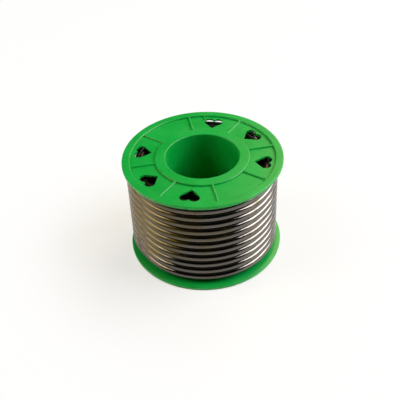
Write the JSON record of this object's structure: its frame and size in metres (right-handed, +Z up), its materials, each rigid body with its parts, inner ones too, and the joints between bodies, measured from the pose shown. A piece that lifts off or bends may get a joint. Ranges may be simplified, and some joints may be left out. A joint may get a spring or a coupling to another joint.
{
  "type": "solder wire spool",
  "caption": "Moulded plastic spool in two press-together halves, with heart-shaped windows in its flanges, wound full of thick solder wire and open through its bore for a spindle.",
  "frame": {"origin": "middle of the lower flange's outer face, on the surface that the spool stands on", "axes": "+Z up along the bore; a rib of each flange lies 9.6 degrees from +X towards +Y"},
  "size_m": [0.06, 0.06, 0.0406],
  "materials": {
    "green_plastic": "moulded polystyrene, semi-gloss, bright green",
    "solder_wire": "drawn tin-lead alloy, soft grey shine, slightly tarnished"
  },
  "bodies": {
    "root": {"upper_reel_half": "green_plastic", "lower_reel_half": "green_plastic", "inner_solder_layers": "solder_wire", "outer_solder_layer": "solder_wire"}
  },
  "joints": []
}
